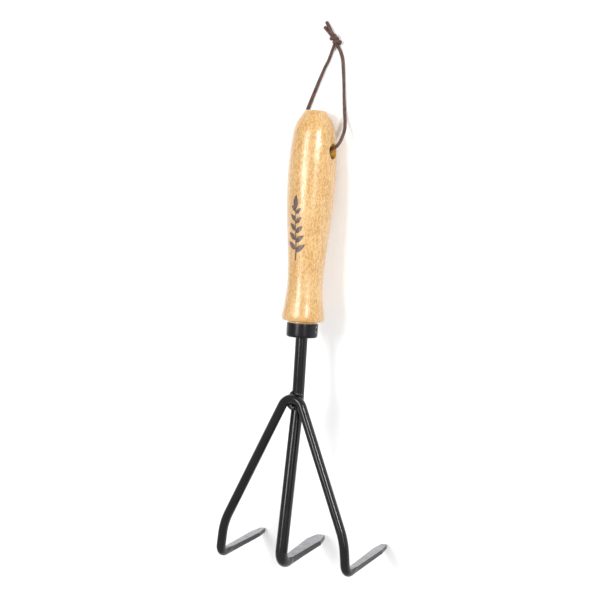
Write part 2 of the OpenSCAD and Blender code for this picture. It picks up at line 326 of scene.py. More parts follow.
lace_path = smooth_path(LACE_ROUTE, 0.8)
knot_rings = [knot_wraps(), knot_bight()] + knot_core()
loop = link("lanyard_lace", *skin(lace_rings(lace_path, LACE_D)), ON_TABLE)
knot = link("lanyard_overhand_knot", *joined([skin(rings) for rings in knot_rings]), ON_TABLE)
tails = link("lanyard_tails_cut",
             *joined([skin(tail_rings(e, 7 + i)) for i, e in enumerate(TAIL_ENDS)]), ON_TABLE)

for piece, node in ((loop, "lanyard_loop"), (knot, "lanyard_knot"), (tails, "lanyard_tails")):
    smooth(piece, LACE_SHARP)
    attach(piece, LANYARD)
    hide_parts(node)


# --- material helpers ---------------------------------------------------------------------------
class Nodes:
    """A material's node tree, with short calls for what the materials here need."""

    def __init__(self, name, piece_frame=IN_RAKE):
        self.material = bpy.data.materials.new(name)
        self.material.use_nodes = True
        self.tree = self.material.node_tree
        self.tree.nodes.clear()
        self.shader = self.add("ShaderNodeBsdfPrincipled")
        out = self.add("ShaderNodeOutputMaterial")
        self.join(self.shader.outputs[0], out.inputs[0])
        coord = self.add("ShaderNodeTexCoord")
        mapping = self.add("ShaderNodeMapping")
        inverse = piece_frame.inverted()
        mapping.inputs["Location"].default_value = inverse.to_translation()
        mapping.inputs["Rotation"].default_value = inverse.to_euler("XYZ")
        mapping.inputs["Scale"].default_value = inverse.to_scale()
        self.join(coord.outputs["Object"], mapping.inputs["Vector"])
        self.place = mapping.outputs[0]      # the place in the piece's frame, in millimetres

    def add(self, kind, **settings):
        """A new node of a kind, with its own settings."""
        made = self.tree.nodes.new(kind)
        for key, value in settings.items():
            setattr(made, key, value)
        return made

    def join(self, source, socket):
        self.tree.links.new(source, socket)

    def put(self, value, socket):
        """Gives a socket a number or colour, or joins another socket to it."""
        if isinstance(value, bpy.types.NodeSocket):
            self.join(value, socket)
        else:
            socket.default_value = value

    def math(self, operation, a, b=0.0):
        made = self.add("ShaderNodeMath", operation=operation)
        self.put(a, made.inputs[0])
        self.put(b, made.inputs[1])
        return made.outputs[0]

    def stretched(self, x, y, z):
        """The place, scaled along each axis."""
        made = self.add("ShaderNodeVectorMath", operation="MULTIPLY")
        self.join(self.place, made.inputs[0])
        made.inputs[1].default_value = (x, y, z)
        return made.outputs[0]

    def noise(self, vector, scale=1.0, detail=3.0, roughness=0.5):
        made = self.add("ShaderNodeTexNoise")
        self.join(vector, made.inputs["Vector"])
        made.inputs["Scale"].default_value = scale
        made.inputs["Detail"].default_value = detail
        made.inputs["Roughness"].default_value = roughness
        return made.outputs["Fac"]

    def spread(self, value, low, high, to_low=0.0, to_high=1.0):
        """Maps low..high smoothly to to_low..to_high."""
        made = self.add("ShaderNodeMapRange")
        made.interpolation_type = "SMOOTHSTEP"
        self.join(value, made.inputs["Value"])
        for name, number in (("From Min", low), ("From Max", high), ("To Min", to_low),
                             ("To Max", to_high)):
            made.inputs[name].default_value = number
        return made.outputs[0]

    def mix(self, share, a, b):
        """The colour a, with a share of the colour b."""
        made = self.add("ShaderNodeMix", data_type="RGBA")
        self.put(share, made.inputs[0])
        for value, socket in ((a, made.inputs[6]), (b, made.inputs[7])):
            self.put((*value, 1) if isinstance(value, tuple) else value, socket)
        return made.outputs[2]

    def bump(self, height, strength, distance):
        made = self.add("ShaderNodeBump")
        self.join(height, made.inputs["Height"])
        made.inputs["Strength"].default_value = strength
        made.inputs["Distance"].default_value = distance * MM
        return made.outputs[0]

    def set(self, **values):
        """Sets or joins the shader's own sockets by name."""
        for name, value in values.items():
            self.put(value, self.shader.inputs[name.replace("_", " ")])


# --- sizes of the handle, ferrule, nail and rods ------------------------------------------------
GRIP_D, WAIST_D, FLARE_D, BUTT_D, SHOULDER_D = 31.5, 23.5, 28.6, 13.6, 27.8
GRIP_Z, WAIST_Z, FLARE_Z, WOOD_Z, SHOULDER_Z = 105, 36, 12.6, 10.8, 134
FLARE_UNDERCUT = 0.35               # how fast the flare narrows below its widest place
FLARE_IN, FLARE_ROUND = 1.6, 1.1    # its lower edge: how far in its centre is, and its radius
FLARE_CURVE, GRIP_CURVE = 1.7, 0.9
BUTT_SLOPE = 0.27
BUTT_EDGE_IN, BUTT_EDGE_DOWN = 0.5, 0.12
TENON_GAP = 0.02
TENON_ROOT_OUT, TENON_ROOT_DOWN = 0.25, 0.3
HOLE_D, HOLE_Z = 10, 122.7
HOLE_RIM = 14.0                     # where the hole's edge starts to widen, from the handle's axis
HOLE_RIM_OUT, HOLE_RIM_DEEP = 1.2, 1.05
CUT_PAST, CUT_OUT = 3.4, 3.2        # how far the hole's cutter runs past there, and widens
FERRULE_D, FERRULE_H, FERRULE_WALL, FERRULE_FLOOR, FERRULE_ROUND = 20.6, 9.4, 0.8, 1.2, 1.6
FERRULE_LIP = 0.25
SHANK_HOLE_BEVEL_OUT, SHANK_HOLE_BEVEL_HIGH = 0.4, 0.35
LIP_BEVEL_OUT, LIP_BEVEL_DEEP = 0.1, 0.12
SHANK_GAP = 0.02
TENON_D = FERRULE_D - 2 * FERRULE_WALL
NAIL_D, NAIL_Z, NAIL_ANGLE, NAIL_SINK, NAIL_LEN = 2.6, 5.6, 9, 0.65, 4.6
ROD_R, OUTER_R = 4.0, 3.1


# --- materials ----------------------------------------------------------------------------------
WOOD_PALE = (0.64, 0.405, 0.155)
WOOD_GOLD = (0.52, 0.28, 0.058)
WOOD_BROWN = (0.34, 0.15, 0.026)
RING_CENTRE = (34.0, 22.0)          # where the tree's heart lies from the handle's axis
RING_WIDTH = 2.6
INK_COLOUR = (0.045, 0.018, 0.022)
# Painted shade deep in the cross hole, and painted light near its mouths
BORE_PAINTED_SHADE, BORE_PAINTED_LIGHT = (0.075, 0.028, 0.008), (0.85, 0.42, 0.04)
PRONG_ROOT = (0.005, 0.005, 0.006)
LACE_DARK, LACE_BROWN = (0.036, 0.012, 0.0075), (0.115, 0.042, 0.025)
# The creases' dark colour is painted shade
LACE_WORN, LACE_CREASE_PAINTED_SHADE = (0.30, 0.18, 0.12), (0.04, 0.018, 0.014)


def wood_colour(n):
    """Faint growth rings, patches, broken streaks, flecks and short pores, and a height."""
    axes = n.add("ShaderNodeSeparateXYZ")
    n.join(n.place, axes.inputs[0])
    dx = n.math("SUBTRACT", axes.outputs[0], RING_CENTRE[0])
    dy = n.math("SUBTRACT", axes.outputs[1], RING_CENTRE[1])
    away = n.math("SQRT", n.math("ADD", n.math("MULTIPLY", dx, dx), n.math("MULTIPLY", dy, dy)))
    wander = n.noise(n.stretched(0.09, 0.09, 0.03), detail=3.0)
    wavy = n.math("ADD", away, n.math("MULTIPLY", wander, 13.0))
    leaning = n.math("ADD", wavy, n.math("MULTIPLY", axes.outputs[2], 0.035))
    late = n.spread(n.math("SINE", n.math("MULTIPLY", leaning, math.tau / RING_WIDTH)), 0.0, 1.0)
    patch = n.noise(n.stretched(0.13, 0.13, 0.045), detail=3.0)
    streak = n.noise(n.stretched(0.9, 0.9, 0.07), detail=4.0, roughness=0.65)
    fleck = n.noise(n.stretched(1.2, 1.2, 0.5), detail=4.0, roughness=0.85)
    pore = n.noise(n.stretched(2.6, 2.6, 0.35), detail=2.0)
    body = n.mix(n.spread(patch, 0.34, 0.62), WOOD_PALE, WOOD_GOLD)
    ringed = n.mix(n.math("MULTIPLY", late, 0.18), body, WOOD_BROWN)
    streaked = n.mix(n.spread(streak, 0.48, 0.72, 0.0, 0.3), ringed, WOOD_BROWN)
    light = n.mix(n.spread(fleck, 0.50, 0.58, 0.0, 0.9), streaked, WOOD_PALE)
    dark = n.mix(n.spread(fleck, 0.50, 0.42, 0.0, 0.68), light, WOOD_BROWN)
    holes = n.spread(pore, 0.58, 0.68)
    colour = n.mix(n.math("MULTIPLY", holes, 0.5), dark, WOOD_BROWN)
    height = n.math("ADD", n.math("MULTIPLY", streak, 0.4), n.math("MULTIPLY", holes, -0.5))
    return colour, n.math("ADD", height, n.math("MULTIPLY", fleck, 0.9))


def set_lacquer(n, colour, height):
    """Thick lacquer over the wood: the grain shows through its surface and breaks up its shine."""
    n.set(Base_Color=colour, Roughness=0.45, Normal=n.bump(height, 0.4, 0.15), Coat_Weight=1.0,
          Coat_Roughness=0.06, Coat_IOR=1.6, Coat_Normal=n.bump(height, 0.8, 0.125))


def lacquered_wood():
    n = Nodes("lacquered_wood")
    set_lacquer(n, *wood_colour(n))
    return n.material


def bare_bore_painted_light_and_shade():
    """Bare wood in the cross hole, with painted light making it golden near its mouths and painted
    shade making it dark deep inside and low down.
    """
    n = Nodes("bare_bore_painted_light_and_shade")
    colour, height = wood_colour(n)
    axes = n.add("ShaderNodeSeparateXYZ")
    n.join(n.place, axes.inputs[0])
    # Painted light near the mouths and higher up; painted shade deep inside and lower down
    mouth = n.spread(n.math("ABSOLUTE", axes.outputs[0]), 7.0, 12.0)
    upper = n.spread(axes.outputs[2], HOLE_Z - 4.6, HOLE_Z - 1.5, 0.15, 1.0)
    lit = n.math("MULTIPLY", mouth, upper)
    n.set(Base_Color=n.mix(lit, BORE_PAINTED_SHADE, n.mix(0.6, colour, BORE_PAINTED_LIGHT)), Roughness=0.6,
          Normal=n.bump(height, 0.5, 0.2))
    return n.material


def printed_ink():
    """Dark ink under the lacquer, thin in spots where the wood shows through."""
    n = Nodes("printed_ink")
    colour, height = wood_colour(n)
    worn = n.noise(n.stretched(1.3, 1.3, 0.5), detail=4.0, roughness=0.7)
    thin = n.spread(worn, 0.42, 0.75, 0.0, 0.25)
    set_lacquer(n, n.mix(thin, INK_COLOUR, colour), height)
    return n.material


def enamel(name, base, gloss, peel, peel_size, shine):
    """Enamel with orange peel and uneven gloss; gloss is its least and greatest roughness."""
    n = Nodes(name)
    cloud = n.noise(n.place, scale=0.09, detail=4.0)
    fine = n.noise(n.place, scale=peel_size, detail=2.0)
    drawn = n.noise(n.stretched(1.6, 1.6, 0.06), detail=3.0)
    tone = n.mix(n.spread(cloud, 0.35, 0.65), base, tuple(1.5 * c for c in base))
    height = n.math("ADD", fine, n.math("MULTIPLY", drawn, 0.8))
    n.set(Base_Color=tone, Roughness=n.spread(cloud, 0.3, 0.7, *gloss),
          Normal=n.bump(height, 0.3, peel), Specular_IOR_Level=shine)
    return n.material


def painted_light_prong_enamel(name, low, high, fade, shine):
    """A prong's enamel over hammer marks: greys from low to high, with fine light specks; the grey
    is painted light, a painted reflection on the flats and a darker painted shade on the sides.

    fade is where, along +Y, it turns from the black of the prong's root to the painted grey.
    """
    n = Nodes(name)
    axes = n.add("ShaderNodeSeparateXYZ")
    n.join(n.place, axes.inputs[0])
    cloud = n.noise(n.place, scale=0.16, detail=4.0, roughness=0.6)
    speck = n.noise(n.place, scale=1.9, detail=3.0, roughness=0.75)
    grey = n.mix(n.spread(cloud, 0.3, 0.7), low, high)
    specked = n.mix(n.spread(speck, 0.5, 0.7, 0.0, 0.5), grey, tuple(2.2 * c for c in high))
    height = n.math("ADD", speck, n.math("MULTIPLY", cloud, 2.0))
    n.set(Base_Color=n.mix(n.spread(axes.outputs[1], *fade), PRONG_ROOT, specked),
          Roughness=n.spread(cloud, 0.3, 0.7, 0.18, 0.27),
          Normal=n.bump(height, 0.25, 0.06), Specular_IOR_Level=shine)
    return n.material


def lace_leather():
    """Brown leather, with painted shade darkening its creases, and paler in worn spots."""
    n = Nodes("lace_leather", ON_TABLE)
    tone = n.noise(n.place, scale=0.35, detail=4.0, roughness=0.6)
    grain = n.noise(n.place, scale=2.8, detail=3.0, roughness=0.65)
    creases = n.add("ShaderNodeTexVoronoi", feature="DISTANCE_TO_EDGE")
    n.join(n.place, creases.inputs["Vector"])
    creases.inputs["Scale"].default_value = 1.7
    edge = n.spread(creases.outputs["Distance"], 0.0, 0.16)
    brown = n.mix(n.spread(tone, 0.35, 0.68), LACE_DARK, LACE_BROWN)
    worn = n.mix(n.spread(grain, 0.5, 0.75, 0.0, 0.55), brown, LACE_WORN)
    # Painted shade: darker along the low creases of the grain
    crease_shade = n.math("MULTIPLY", n.math("SUBTRACT", 1.0, edge), 0.45)
    colour = n.mix(crease_shade, worn, LACE_CREASE_PAINTED_SHADE)
    height = n.math("ADD", n.math("MULTIPLY", edge, 0.6), grain)
    n.set(Base_Color=colour, Roughness=n.spread(grain, 0.3, 0.7, 0.48, 0.66),
          Normal=n.bump(height, 0.55, 0.12), Sheen_Weight=0.05, Sheen_Roughness=0.5)
    return n.material


WOOD = lacquered_wood()
INK = printed_ink()
STEEL = enamel("black_enamel_rods", (0.003, 0.003, 0.004), gloss=(0.13, 0.19),
               peel=0.006, peel_size=0.8, shine=0.34)
WELD = enamel("black_enamel_weld", (0.004, 0.004, 0.0055), gloss=(0.14, 0.24),
              peel=0.08, peel_size=0.9, shine=0.5)
FERRULE = enamel("black_enamel_ferrule", (0.003, 0.003, 0.005), gloss=(0.22, 0.3),
                 peel=0.02, peel_size=1.4, shine=0.26)
NAIL = enamel("black_enamel_nail", (0.002, 0.002, 0.003), gloss=(0.5, 0.6),
              peel=0.03, peel_size=1.4, shine=0.15)
# A pale grey ring painted round the nail's dimple as its painted highlight
DIMPLE_PAINTED_HIGHLIGHT = enamel("dimple_ring_painted_highlight", (0.27, 0.27, 0.29), gloss=(0.3, 0.4),
                   peel=0.02, peel_size=1.4, shine=0.5)
# The prongs' greys are painted light: a painted reflection on the flats that face up, and darker
# painted shade on their sides
FLATS_PAINTED_REFLECTION = painted_light_prong_enamel("hammered_flats_painted_reflection", (0.15, 0.153, 0.163), (0.23, 0.235, 0.25),
                      fade=(-9, -3.5), shine=1.0)
SIDES_PAINTED_SHADE = painted_light_prong_enamel("hammered_sides_painted_shade", (0.009, 0.009, 0.0105), (0.021, 0.0215, 0.024),
                      fade=(-8, 4), shine=0.35)
LACE = lace_leather()
for piece in (loop, knot, tails):
    piece.data.materials.append(LACE)


def finish_piece(piece, material, slot, *nodes, sharp):
    """A piece of the rake: its shading, material, body and the nodes that it replaces; slot is not
    used.
    """
    smooth(piece, sharp)
    piece.data.materials.append(material)
    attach(piece, RAKE)
    if nodes:
        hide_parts(*nodes)


# --- handle -------------------------------------------------------------------------------------
def ease(t):
    """Rises from 0 to 1 with a level start and end."""
    return (1 - math.cos(math.pi * t)) / 2


def handle_r(z):
    """The handle's radius at a height: flare, waist, grip and rounded butt."""
    if z < FLARE_Z:
        return FLARE_D / 2 - (FLARE_Z - z) * FLARE_UNDERCUT
    if z < WAIST_Z:
        drop = (WAIST_Z - z) / (WAIST_Z - FLARE_Z)
        return WAIST_D / 2 + (FLARE_D - WAIST_D) / 2 * drop ** FLARE_CURVE
    if z < GRIP_Z:
        rise = ease(((z - WAIST_Z) / (GRIP_Z - WAIST_Z)) ** GRIP_CURVE)
        return WAIST_D / 2 + (GRIP_D - WAIST_D) / 2 * rise
    if z < SHOULDER_Z:
        rise = (z - GRIP_Z) / (SHOULDER_Z - GRIP_Z)
        return GRIP_D / 2 - (GRIP_D - SHOULDER_D) / 2 * rise ** 2
    t = (z - SHOULDER_Z) / (HANDLE_LEN - SHOULDER_Z)
    narrowing = BUTT_SLOPE * t + (1 - BUTT_SLOPE) * t * t
    return BUTT_D / 2 + (SHOULDER_D - BUTT_D) / 2 * (1 - narrowing)


def arc(centre_r, centre_z, radius, start, end, steps):
    """Points (r, z) of an arc, with its angles in degrees from straight outward, up positive."""
    angles = (math.radians(start + (end - start) * i / steps) for i in range(steps + 1))
    return [(centre_r + radius * math.cos(a), centre_z + radius * math.sin(a)) for a in angles]


def handle_outline():
    """The tenon, the flare's rounded lower edge, the turned body and the butt's broken edge."""
    tenon_r = TENON_D / 2 - TENON_GAP
    outline = [(0, FERRULE_FLOOR), (tenon_r, FERRULE_FLOOR), (tenon_r, WOOD_Z - TENON_ROOT_DOWN),
               (TENON_D / 2 + TENON_ROOT_OUT, WOOD_Z)]
    outline += arc(FLARE_D / 2 - FLARE_IN, WOOD_Z + FLARE_ROUND, FLARE_ROUND, -90, 0, 7)[:-1]
    steps, butt_steps = 130, 28
    heights = [FLARE_Z + (SHOULDER_Z - FLARE_Z) * i / steps for i in range(1, steps + 1)]
    heights += [SHOULDER_Z + (HANDLE_LEN - SHOULDER_Z) * i / butt_steps
                for i in range(1, butt_steps)]
    outline += [(handle_r(z), z) for z in heights]
    return outline + [(BUTT_D / 2, HANDLE_LEN - BUTT_EDGE_DOWN),
                      (BUTT_D / 2 - BUTT_EDGE_IN, HANDLE_LEN),
                      (BUTT_D / 4, HANDLE_LEN), (0, HANDLE_LEN)]


def hole_cutter():
    """The cross hole's shape, with a broken edge where it comes out on each side."""
    edge, steps = [], 6
    for i in range(steps + 1):
        a = math.pi / 2 * i / steps
        edge.append((HOLE_D / 2 + HOLE_RIM_OUT * (1 - math.cos(a)),
                     HOLE_RIM + HOLE_RIM_DEEP * math.sin(a)))
    end = HOLE_RIM + CUT_PAST
    edge.append((HOLE_D / 2 + CUT_OUT, end))
    outline = [(0, -end)] + [(r, -z) for r, z in reversed(edge)] + edge + [(0, end)]
    crosswise = Matrix.Translation((0, 0, HOLE_Z)) @ Matrix.Rotation(math.pi / 2, 4, "Y")
    return lathe("hole_cutter", outline, sides=72, place=IN_RAKE @ crosswise)


def give_bore_faces():
    """The bare wood's material, with its painted light and shade, on the faces inside the cross
    hole.
    """
    handle.data.materials.append(bare_bore_painted_light_and_shade())
    into_rake = IN_RAKE.inverted()
    for face in handle.data.polygons:
        middle = into_rake @ face.center
        off_axis = math.hypot(middle.y, middle.z - HOLE_Z)
        if off_axis < HOLE_D / 2 + 0.05 and abs(middle.x) < HOLE_RIM:
            face.material_index = 1


handle = lathe("turned_handle", handle_outline(), sides=180)
drill(handle, hole_cutter())
finish_piece(handle, WOOD, "wood", "handle", sharp=35)
give_bore_faces()


# --- printed sprig ------------------------------------------------------------------------------
MARK_LOW, MARK_HIGH = 50.5, 93.5
MARK_AZIMUTH = -9
INK_LIFT = 0.035
STEM_SHORT = 7                      # how far below the top leaf's tip the stem ends
TOP_LEAF_LEN, TOP_LEAF_W = 9.5, 3.8
LEAF_PAIRS = 5
FIRST_PAIR, PAIR_STEP = 5.5, 6.2
LEAF_BOW, LEAF_END_W = 0.05, 0.03
LEFT_LEAF_HIGHER = 1.6
LEAF_OFF_STEM = 0.3


def on_handle(across, z, lift):
    """A point on the handle's back: across is the distance round it, from the sprig's stem."""
    r = handle_r(z) + lift
    a = across / handle_r(z) + math.radians(MARK_AZIMUTH)
    return Vector((r * math.sin(a), -r * math.cos(a), z))


def leaf(root, angle, length, width):
    """Rows of points across a pointed leaf, in (across, z), from its root at an angle from up."""
    steps, half = 18, 4
    c, s = math.cos(math.radians(angle)), math.sin(math.radians(angle))
    rows = []
    for i in range(steps + 1):
        t = i / steps
        w = width / 2 * math.sin(math.pi * t ** 0.8) ** 0.9 if 0 < t < 1 else LEAF_END_W
        bow = LEAF_BOW * length * math.sin(math.pi * t) * (1 if angle >= 0 else -1)
        row = []
        for k in range(-half, half + 1):
            u, v = w * k / half - bow, length * t
            row.append((root[0] + u * c + v * s, root[1] - u * s + v * c))
        rows.append(row)
    return rows


def stem():
    """Rows of points across the stem, which narrows upward and sways a little."""
    steps = 50
    rows = []
    for i in range(steps + 1):
        z = MARK_LOW + (MARK_HIGH - STEM_SHORT - MARK_LOW) * i / steps
        w = 0.55 - 0.25 * i / steps
        sway = 0.35 * math.sin(math.tau * i / steps)
        rows.append([(sway + w * k, z) for k in (-1, 0, 1)])
    return rows


def sprig_parts():
    """The stem, the top leaf and the pairs of leaves, which get smaller and steeper upward."""
    parts = [stem(), leaf((0, MARK_HIGH - TOP_LEAF_LEN), 0, TOP_LEAF_LEN, TOP_LEAF_W)]
    for i in range(LEAF_PAIRS):
        z = MARK_LOW + FIRST_PAIR + PAIR_STEP * i
        angle, length, width = 52 - 3 * i, 8.2 - 0.75 * i, 3.5 - 0.2 * i
        parts.append(leaf((LEAF_OFF_STEM, z), angle, length, width))
        parts.append(leaf((-LEAF_OFF_STEM, z + LEFT_LEAF_HIGHER), -angle, length, width))
    return parts


def sprig_mesh():
    """Each part as a thin closed sheet, half in the wood and half out of it."""
    verts, faces = [], []
    for rows in sprig_parts():
        wide = len(rows[0])
        for lift in (INK_LIFT, -INK_LIFT):
            start = len(verts)
            verts += [on_handle(x, z, lift) for row in rows for x, z in row]
            for i in range(len(rows) - 1):
                for k in range(wide - 1):
                    a = start + i * wide + k
                    quad = (a, a + 1, a + wide + 1, a + wide)
                    faces.append(quad if lift > 0 else tuple(reversed(quad)))
        top = start - len(rows) * wide
        rim = (list(range(wide)) + [i * wide + wide - 1 for i in range(1, len(rows))]
               + [(len(rows) - 1) * wide + k for k in range(wide - 2, -1, -1)]
               + [i * wide for i in range(len(rows) - 2, 0, -1)])
        for a, b in zip(rim, rim[1:] + rim[:1]):
            faces.append((top + b, top + a, start + a, start + b))
    return verts, faces


sprig = link("printed_sprig", *sprig_mesh())
outward(sprig)
finish_piece(sprig, INK, "wood", sharp=40)


# --- ferrule and nail ---------------------------------------------------------------------------
# The dimple round the nail: how far out from the nail's edge, and how high above the ferrule's side
DIMPLE = [(0, -0.62), (0.25, -0.5), (0.6, -0.44), (1.2, -0.38), (1.7, -0.16), (2.0, 0.6)]
NAIL_HOLE_FLOOR = -1.6
HIGHLIGHT_FROM, HIGHLIGHT_TO = 0.2, 0.75      # how far out from the nail's edge the painted highlight ring lies
HIGHLIGHT_DEPTH = 0.65                   # below the ferrule's side


def ferrule_outline():
    """A cup with a rounded lower edge, a rolled lip and a hole in its floor for the shank."""
    outer, inner, hole_r = FERRULE_D / 2, TENON_D / 2, ROD_R + SHANK_GAP
    low = arc(outer - FERRULE_ROUND, FERRULE_ROUND, FERRULE_ROUND, -90, 0, 12)
    lip = arc(outer - FERRULE_LIP, FERRULE_H - FERRULE_LIP, FERRULE_LIP, 0, 90, 5)
    return ([(hole_r, FERRULE_FLOOR), (hole_r, SHANK_HOLE_BEVEL_HIGH),
             (ROD_R + SHANK_HOLE_BEVEL_OUT, 0)] + low
            + [(outer, z) for z in (3, 5, 7)] + lip
            + [(inner + LIP_BEVEL_OUT, FERRULE_H), (inner, FERRULE_H - LIP_BEVEL_DEEP),
               (inner, FERRULE_FLOOR)])


def nail_place(out):
    """A matrix on the nail's line, at a distance from the handle's axis, +Z pointing outward."""
    return (IN_RAKE @ Matrix.Rotation(math.radians(NAIL_ANGLE), 4, "Z")
            @ Matrix.Translation((out, 0, NAIL_Z)) @ Matrix.Rotation(math.pi / 2, 4, "Y"))


def punch():
    """The shape of the nail's hole in the ferrule, with the dimple round it."""
    nail_r = NAIL_D / 2
    outline = [(0, NAIL_HOLE_FLOOR), (nail_r, NAIL_HOLE_FLOOR)]
    outline += [(nail_r + out, height) for out, height in DIMPLE] + [(0, DIMPLE[-1][1])]
    return lathe("punch", outline, sides=48, place=nail_place(FERRULE_D / 2))


def give_highlight_faces():
    """The painted highlight's material, a pale grey ring on the dimple's faces next to the nail."""
    ferrule.data.materials.append(DIMPLE_PAINTED_HIGHLIGHT)
    into_nail = nail_place(0).inverted()
    for face in ferrule.data.polygons:
        middle = into_nail @ face.center
        off = math.hypot(middle.x, middle.y) - NAIL_D / 2
        if HIGHLIGHT_FROM < off < HIGHLIGHT_TO and middle.z > FERRULE_D / 2 - HIGHLIGHT_DEPTH:
            face.material_index = 1


def nail_outline():
    """A plain shaft with a rounded outer end that has a small centre mark."""
    r = NAIL_D / 2
    return [(0, -NAIL_LEN), (r * 0.8, -NAIL_LEN), (r * 0.98, -1.2), (r * 0.98, -0.15),
            (r * 0.8, 0), (0.4, 0.02), (0.2, -0.12), (0, -0.14)]


ferrule = lathe("pressed_ferrule", ferrule_outline(), sides=144)
drill(ferrule, punch())
finish_piece(ferrule, FERRULE, "black_ferrule", "ferrule", sharp=35)
give_highlight_faces()

nail = lathe("ferrule_brad", nail_outline(), sides=40, place=nail_place(FERRULE_D / 2 - NAIL_SINK))
outward(nail)
finish_piece(nail, NAIL, "nail_steel", "ferrule_nail", sharp=35)


# --- rods ---------------------------------------------------------------------------------------
ROD_SIDES = 64
PRONG_LEN = 60
CENTRE_RISE, LEFT_RISE, RIGHT_RISE = 10.4, 7.6, 10      # degrees, from square to the handle
CENTRE_CORNER = Vector((0, -10.5, -150.3))
SHANK_BEND = Vector((0, 0, -47))
APEX = Vector((0, -6.85, -29))
TANG_LEN = 40
CORNER_R_CENTRE, CORNER_R_OUTER, SHANK_BEND_R, KNEE_R, APEX_R = 7, 5.6, 60, 45, 8
CENTRE_BLADE_W, OUTER_BLADE_W, CENTRE_BLADE_T, OUTER_BLADE_T = 10.8, 7, 3.7, 3.3
# Along a prong, as shares of its length from its corner: where the hammered flat starts, how long
# it takes to form, where the prong is widest, and how long the bevel at its end is
ROOT_SHARE, FORMING_SHARE, SHOULDER_SHARE, END_BEVEL_SHARE = 0.15, 0.07, 0.8, 0.025
END_BEVEL, END_TAPER = 0.7, 0.5
WIDENING_CURVE = 1.25
TOP_PART = 0.43                     # the share of a tip's thickness that lies above its middle
TOP_EDGE_BREAK, TOP_EDGE_REACH = 0.035, 0.12
UNDERSIDE_SQUARENESS = 0.4          # 1 is a half round, and less is squarer
DENT_DEPTH, DENT_RATE = 0.09, 0.35
DENTS_FROM, DENTS_FADE = 0.2, 0.1   # shares of a prong's length
CORNER_STEPS = 24
# Rings along a prong, by their shares: three at its end, then a close and a wide spacing
PRONG_SHARES = ([1, 1 - END_BEVEL_SHARE / 2, 1 - END_BEVEL_SHARE]
                + [0.97 - 0.01 * i for i in range(1, 23)]
                + [0.75 - 0.58 * i / 40 for i in range(1, 41)])
# Bands of faces that have a prong's own materials, over the prong and its corner
PRONG_BANDS = len(PRONG_SHARES) - 1 + CORNER_STEPS


def knee(s):
    """Where an outer tine bends towards its prong; s is -1 on the left and 1 on the right."""
    return Vector((s * 44.9, -9.4, -128.3))


def outer_corner(s):
    """Where an outer tine turns into its prong."""
    return Vector((s * 47, -8.4, -149.7))


def bend(a, p, b, r, steps):
    """Stations of [centre, direction] round a bend at p, tangent to both sides."""
    d1, d2 = (p - a).normalized(), (b - p).normalized()
    turn = d1.angle(d2)
    inward = (d2 - math.cos(turn) * d1).normalized()
    middle = p - d1 * r * math.tan(turn / 2) + inward * r
    stations = []
    for i in range(steps + 1):
        t = turn * i / steps
        stations.append((middle + r * (math.sin(t) * d1 - math.cos(t) * inward),
                         math.cos(t) * d1 + math.sin(t) * inward))
    return stations


def straight(a, b, steps):
    """Stations between a and b, without both ends."""
    d = (b - a).normalized()
    return [(a + (b - a) * i / steps, d) for i in range(1, steps)]


def prong_dir(rise):
    """The direction that a prong points in."""
    return Vector((0, math.cos(math.radians(rise)), math.sin(math.radians(rise))))


def round_outline(r):
    """A round bar's section."""
    return [Vector((r * math.cos(a), r * math.sin(a)))
            for a in (math.tau * k / ROD_SIDES for k in range(ROD_SIDES))]


def flat_outline(half_w, top, bottom):
    """A prong's section: flat on top, with upright sides and a rounded underside."""
    outline = []
    for k in range(ROD_SIDES):
        a = math.tau * k / ROD_SIDES
        c, s = math.cos(a), math.sin(a)
        m = max(abs(c), abs(s))
        if s >= 0:
            edge = 1 - TOP_EDGE_BREAK * max(0, 1 - abs(abs(c) - abs(s)) / TOP_EDGE_REACH)
            outline.append(Vector((half_w * c / m * edge, top * s / m * edge)))
        else:
            wide = math.copysign(abs(c) ** UNDERSIDE_SQUARENESS, c)
            outline.append(Vector((half_w * wide, -bottom * (-s) ** UNDERSIDE_SQUARENESS)))
    return outline


def blade_half_w(u, root, widest):
    """Half a prong's width: it widens from its root to its shoulder, and narrows to its end."""
    if u < SHOULDER_SHARE:
        way = max(0, u - ROOT_SHARE) / (SHOULDER_SHARE - ROOT_SHARE)
        return root + (widest - root) * way ** WIDENING_CURVE
    return widest * (1 - END_TAPER * (u - SHOULDER_SHARE) / (1 - SHOULDER_SHARE))


def blade_outline(u, r, blade_w, tip_t):
    """A prong's outline at a share of its length: round at the root, hammered flat past it."""
    root_w, root_top, root_bottom = 0.78 * r, 0.58 * r, 0.86 * r
    flat = min(1, max(0, (u - ROOT_SHARE) / FORMING_SHARE))
    size = END_BEVEL + (1 - END_BEVEL) * min(1, (1 - u) / END_BEVEL_SHARE)
    top = root_top + (TOP_PART * tip_t - root_top) * u
    bottom = root_bottom + ((1 - TOP_PART) * tip_t - root_bottom) * u
    blade = flat_outline(blade_half_w(u, root_w, blade_w / 2), top, bottom)
    return [a * (1 - flat) + b * flat * size for a, b in zip(round_outline(r), blade)]


def hammered(point, seed):
    """Small dents of the hammer on a prong's flat."""
    return DENT_DEPTH * noise.noise(point * DENT_RATE + Vector((seed, 0, 0)))


